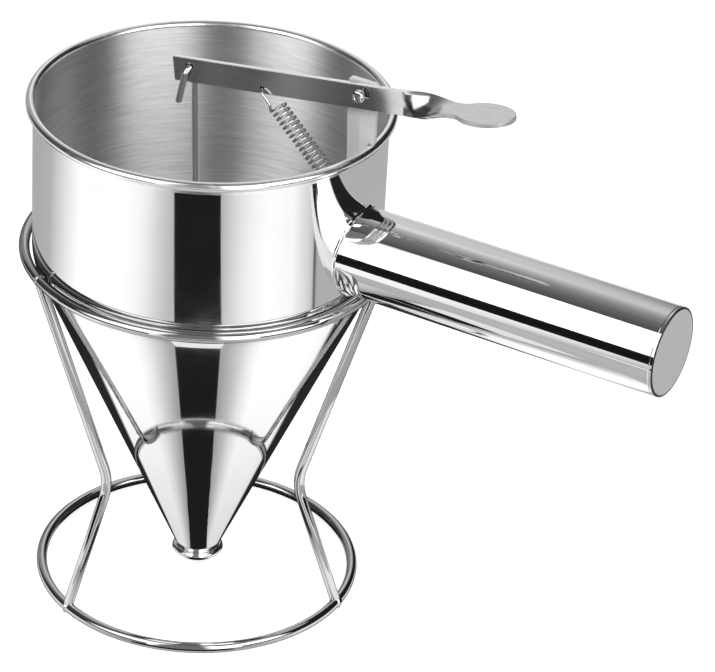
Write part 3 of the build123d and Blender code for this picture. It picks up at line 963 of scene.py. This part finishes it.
def make_welds(name, node, end, size):
    """Lumpy bead round the end of each leg: the base ring is at end 0, the top ring at end -1."""
    beads = []
    for azimuths in leg_azimuths.values():
        middle = leg_line(azimuths)[end]
        bead = lathe("bead", finish_as(arc((0, 0), size, -90, 90, 24)), Matrix.Translation(middle), steps=48)
        for vertex in bead.vertices:
            vertex.co = lumpy(vertex.co, bead_lump_size, bead_lump)
            vertex.co.z = max(vertex.co.z, 0)
        beads.append(bead)
    piece(joined(name, beads), [weld_dull], "stand", "stand_weld", node)


make_cup()
make_cone()
make_nozzle()
make_handle()
make_cap()
make_weld()
make_lever()
make_bracket()
make_rivet()
make_washer()
make_rod()
make_stopper()
make_spring()
make_ring("ring_top", "stand_top_ring", top_ring_radius, top_ring_height)
make_ring("ring_base", "stand_base_ring", base_ring_radius, wire_radius)
for leg_name, leg_ends in leg_azimuths.items():
    make_leg(leg_name, leg_ends)
make_welds("welds_base", "base_ring_welds", 0, base_bead)
make_welds("welds_top", "top_ring_welds", -1, top_bead)


# Studio: white room and floor, and glowing white, grey and black boards that only the metal sees, as painted
# reflections of light and shade.
# Azimuths in the studio start at the camera's direction, and grow to the camera's right.

floor_reach = 4.0
floor_glow = 0.78
floor_white = 0.8
room_light = 0.25
board_lift = 0.15 * MM
board_steps = 72
band_step = 5
strip_level = 0.014
strip_layer = 3
horizon_level = 0.01
horizon_reach = 0.64
lamp_size = 1.0
lamp_aim = Vector((0, 0, 0.05))


def glow_material(name):
    """A material with nothing but its output node."""
    material = bpy.data.materials.new(name)
    material.use_nodes = True
    tree = material.node_tree
    tree.nodes.clear()
    output = tree.nodes.new("ShaderNodeOutputMaterial")
    return material, tree, output


def seen_directly(tree):
    """1 for rays from the camera, or mirrored or passed on by metal or glass, and else 0."""
    path = tree.nodes.new("ShaderNodeLightPath")
    seen = path.outputs["Is Camera Ray"]
    for other in ("Is Glossy Ray", "Is Transmission Ray"):
        most = tree.nodes.new("ShaderNodeMath")
        most.operation = "MAXIMUM"
        tree.links.new(seen, most.inputs[0])
        tree.links.new(path.outputs[other], most.inputs[1])
        seen = most.outputs["Value"]
    return seen


def make_floor():
    """White floor: it glows a little where it is seen, and keeps the object's shadow."""
    material, tree, output = glow_material("floor_white")
    diffuse = tree.nodes.new("ShaderNodeBsdfDiffuse")
    diffuse.inputs["Color"].default_value = (floor_white, floor_white, floor_white, 1)
    glow = tree.nodes.new("ShaderNodeEmission")
    strength = tree.nodes.new("ShaderNodeMath")
    strength.operation = "MULTIPLY"
    strength.inputs[1].default_value = floor_glow
    tree.links.new(seen_directly(tree), strength.inputs[0])
    tree.links.new(strength.outputs["Value"], glow.inputs["Strength"])
    both = tree.nodes.new("ShaderNodeAddShader")
    tree.links.new(diffuse.outputs["BSDF"], both.inputs[0])
    tree.links.new(glow.outputs["Emission"], both.inputs[1])
    tree.links.new(both.outputs["Shader"], output.inputs["Surface"])
    mesh = bpy.data.meshes.new("floor")
    corners = [(-floor_reach, -floor_reach, 0), (floor_reach, -floor_reach, 0),
               (floor_reach, floor_reach, 0), (-floor_reach, floor_reach, 0)]
    mesh.from_pydata(corners, [], [(0, 1, 2, 3)])
    mesh.materials.append(material)
    floor = in_scene("floor", mesh)


def board(name, corners, material, faces=None):
    """A studio board, one flat face or several, that only mirrored rays see."""
    mesh = bpy.data.meshes.new(name)
    mesh.from_pydata([Vector(corner) for corner in corners], [], faces or [tuple(range(len(corners)))])
    mesh.materials.append(material)
    made = in_scene(name, mesh)
    made.visible_camera = False
    made.visible_diffuse = False
    made.visible_shadow = False
    made.visible_transmission = False
    made.visible_volume_scatter = False
    return made


def plain_glow(name, level):
    """A board of one brightness."""
    material, tree, output = glow_material(name)
    glow = tree.nodes.new("ShaderNodeEmission")
    glow.inputs["Color"].default_value = (level, level, level, 1)
    tree.links.new(glow.outputs["Emission"], output.inputs["Surface"])
    return material


def fading_glow(name, pattern, stops, shade=None):
    """A board whose brightness follows a gradient over its own coordinates.

    shade is two pairs of a distance from the board's origin and the share of the brightness left there.
    """
    material, tree, output = glow_material(name)
    place = tree.nodes.new("ShaderNodeTexCoord")
    gradient = tree.nodes.new("ShaderNodeTexGradient")
    gradient.gradient_type = pattern
    ramp = tree.nodes.new("ShaderNodeValToRGB")
    elements = ramp.color_ramp.elements
    for position, _ in stops[1:-1]:
        elements.new(position)
    for element, (position, level) in zip(elements, stops):
        element.position = position
        element.color = (level, level, level, 1)
    glow = tree.nodes.new("ShaderNodeEmission")
    tree.links.new(place.outputs["Object"], gradient.inputs["Vector"])
    tree.links.new(gradient.outputs["Fac"], ramp.inputs["Fac"])
    tree.links.new(ramp.outputs["Color"], glow.inputs["Color"])
    tree.links.new(glow.outputs["Emission"], output.inputs["Surface"])
    if shade:
        distance = tree.nodes.new("ShaderNodeVectorMath")
        distance.operation = "LENGTH"
        share = tree.nodes.new("ShaderNodeMapRange")
        for end, (reach, left) in zip(("Min", "Max"), shade):
            share.inputs["From " + end].default_value = reach
            share.inputs["To " + end].default_value = left
        tree.links.new(place.outputs["Object"], distance.inputs[0])
        tree.links.new(distance.outputs["Value"], share.inputs["Value"])
        tree.links.new(share.outputs["Result"], glow.inputs["Strength"])
    return material


def round_stops(levels):
    """Stops of a gradient round the axis, from pairs of an azimuth and a level."""
    return [(0.5 + azimuth / 360, level) for azimuth, level in levels]


def toward_camera(out, aside, height=0.0):
    """A point out from the axis towards the camera and aside to its right."""
    return Matrix.Rotation(camera_azimuth, 3, "Z") @ Vector((out, aside, height))


def shade_disc(name, reach, layer, levels, shade=None):
    """A disc on the floor whose painted brightness changes round the axis, and with shade also with the
    distance from it.
    """
    rim = [around(reach, step * 360 / board_steps, layer * board_lift) for step in range(board_steps)]
    disc = board(name, rim, fading_glow(name, "RADIAL", round_stops(levels), shade))
    disc.rotation_euler = (0, 0, camera_azimuth)


def floor_strip(name, start, end, left, right):
    """A black strip on the floor towards the camera. Each side is a place aside at the axis and a slope."""
    corners = []
    for out, (aside, slope) in ((start, left), (end, left), (end, right), (start, right)):
        corners.append(toward_camera(out, aside + slope * out, strip_layer * board_lift))
    board(name, corners, plain_glow(name, strip_level))


def floor_band(name, inside, outside, azimuths, level, layer):
    """Part of a flat ring on the floor: one step of it from each azimuth on."""
    corners = []
    for azimuth in azimuths:
        for reach, turn in ((inside, 0), (outside, 0), (outside, band_step), (inside, band_step)):
            corners.append(toward_camera(*around(reach, azimuth + turn, layer * board_lift)))
    faces = [tuple(range(first, first + 4)) for first in range(0, len(corners), 4)]
    board(name, corners, plain_glow(name, level), faces)


def make_floor_cards():
    """Floor that only the metal sees, far from and near to the object, painted with light and shade: painted
    shadow under and behind the object, a black strip in two lengths, and light and dark bands.
    """
    # Far from the axis: painted light and shade round it, with one thin dark line.
    far_levels = [
        (-180, 0.44), (-141, 0.46), (-116, 0.53), (-84, 1.25), (-51, 1.25), (-41, 1.15), (-35, 1.01),
        (-29, 0.80), (-21, 0.60), (8, 0.58), (13, 0.75), (19, 0.95), (25, 1.10), (36, 1.25), (52, 1.16),
        (57, 0.98), (62, 0.84), (67, 0.62), (67.5, 0.04), (68.5, 0.04), (69, 0.52), (120, 0.51), (158, 0.46),
        (180, 0.44)]
    # Near the axis: near black behind the object as its painted shadow, white and grey round the front.
    near_levels = [
        (-180, 0.02), (-116, 0.02), (-110, 1.05), (-60, 1.15), (-47, 0.95), (-36, 0.66), (-25, 0.40),
        (16, 0.40), (27, 0.62), (37, 0.92), (48, 1.15), (88, 1.08), (107, 0.98), (113, 0.02), (180, 0.02)]
    shade_disc("floor_far", reach=0.62, layer=1, levels=far_levels)
    # Painted shadow of the funnel: the near floor darker towards the axis, brighter than white further out.
    near_painted_shadow = ((0.014, 0.80), (0.075, 1.15))
    shade_disc("floor_near", reach=0.118, layer=2, levels=near_levels, shade=near_painted_shadow)
    floor_strip("strip_near", start=0.006, end=0.100, left=(-0.0022, -0.384), right=(0.0058, 0.149))
    floor_strip("strip_far", start=0.235, end=0.42, left=(0.051326, -0.523), right=(0.0445, 0))
    floor_band("gap_light", 0.080, 0.263, range(-22, 12, band_step), level=1.0, layer=4)
    floor_band("ring_light", 0.0500, 0.0537, range(0, 360, band_step), level=0.75, layer=5)
    horizon = [*range(-90, -30, band_step), *range(30, 70, band_step)]
    floor_band("horizon_floor", 0.50, horizon_reach, horizon, horizon_level, layer=3)
    # Painted shadow behind the object: a near-black band on the floor that only the metal sees.
    floor_band("back_painted_shadow", 0.110, 0.238, range(115, 245, band_step), level=0.02, layer=3)
    floor_band("handle_floor", 0.119, 0.236, range(-60, 115, band_step), level=0.56, layer=6)


def make_surround():
    """White and dark panels all round, a ceiling that is lighter at the back, low black bands in front:
    glowing boards that paint reflections.
    """
    reach, foot, top, steps = 0.95, 0.0, 2.3, board_steps
    levels = [
        (-180, 0.90), (-172, 0.90), (-165, 0.40), (-142, 0.40), (-130, 0.06), (-78, 0.06), (-69, 1.9),
        (-29, 1.9), (-22, 0.25), (6, 0.25), (14, 2.5), (62, 2.5), (68, 0.02), (154, 0.02), (164, 0.60),
        (180, 0.90)]
    corners = [around(reach, step * 360 / steps, height) for height in (foot, top) for step in range(steps)]
    faces = [(step, (step + 1) % steps, steps + (step + 1) % steps, steps + step) for step in range(steps)]
    panels = board("wall_panels", corners, fading_glow("wall_panels", "RADIAL", round_stops(levels)), faces)
    panels.rotation_euler = (0, 0, camera_azimuth)
    front, depth, left, right, height = -0.477, 1.3, -1.2, 0.7, 1.2
    fade = [(0.0, 0.08), (0.36, 0.18), (0.57, 0.30), (1.0, 0.75)]
    ceiling = board("ceiling_board", [(0, -left, 0), (0, -right, 0), (1, -right, 0), (1, -left, 0)],
                    fading_glow("ceiling_grey", "LINEAR", fade))
    ceiling.location = (0, front, height)
    ceiling.rotation_euler = (0, 0, math.radians(90))
    ceiling.scale = (depth, 1, 1)
    black = plain_glow("horizon_black", horizon_level)
    band_height, band_turn = 0.208, 20
    for azimuth in (-90, -70, -50, 30, 50):
        foot_line = [toward_camera(*around(horizon_reach, azimuth + turn, 0).xy) for turn in (0, band_turn)]
        top_line = [point + Vector((0, 0, band_height)) for point in reversed(foot_line)]
        board("horizon_band", foot_line + top_line, black)


def make_world():
    """White room: full white where it is seen, softer as light."""
    world = bpy.data.worlds.new("studio")
    bpy.context.scene.world = world
    world.use_nodes = True
    tree = world.node_tree
    tree.nodes.clear()
    output = tree.nodes.new("ShaderNodeOutputWorld")
    choice = tree.nodes.new("ShaderNodeMixShader")
    tree.links.new(seen_directly(tree), choice.inputs["Fac"])
    for socket, strength in ((1, room_light), (2, 1.0)):
        light = tree.nodes.new("ShaderNodeBackground")
        light.inputs["Color"].default_value = (1, 1, 1, 1)
        light.inputs["Strength"].default_value = strength
        tree.links.new(light.outputs["Background"], choice.inputs[socket])
    tree.links.new(choice.outputs["Shader"], output.inputs["Surface"])


def make_lamp(name, place, power):
    """A large round lamp that points at the object."""
    data = bpy.data.lights.new(name, "AREA")
    data.shape = "DISK"
    data.size = lamp_size
    data.energy = power
    lamp = in_scene(name, data)
    lamp.location = place
    lamp.rotation_euler = (lamp_aim - Vector(place)).to_track_quat("-Z", "Y").to_euler()


def make_camera():
    """The photo's camera."""
    data = bpy.data.cameras.new("camera")
    data.sensor_fit = "HORIZONTAL"
    data.sensor_width = sensor_width
    data.lens = camera_lens
    camera = in_scene("camera", data)
    back = camera_right.cross(camera_up)
    frame_turn = Matrix((camera_right, camera_up, back)).transposed().to_4x4()
    camera.matrix_world = Matrix.Translation(camera_place) @ frame_turn
    bpy.context.scene.camera = camera


make_floor()
make_floor_cards()
make_surround()
make_world()
make_lamp("key_light", (-0.6, -1.3, 1.6), 12)
make_lamp("fill_light", (1.3, -0.55, 1.6), 10)
make_camera()
bpy.context.scene.view_settings.view_transform = "Standard"
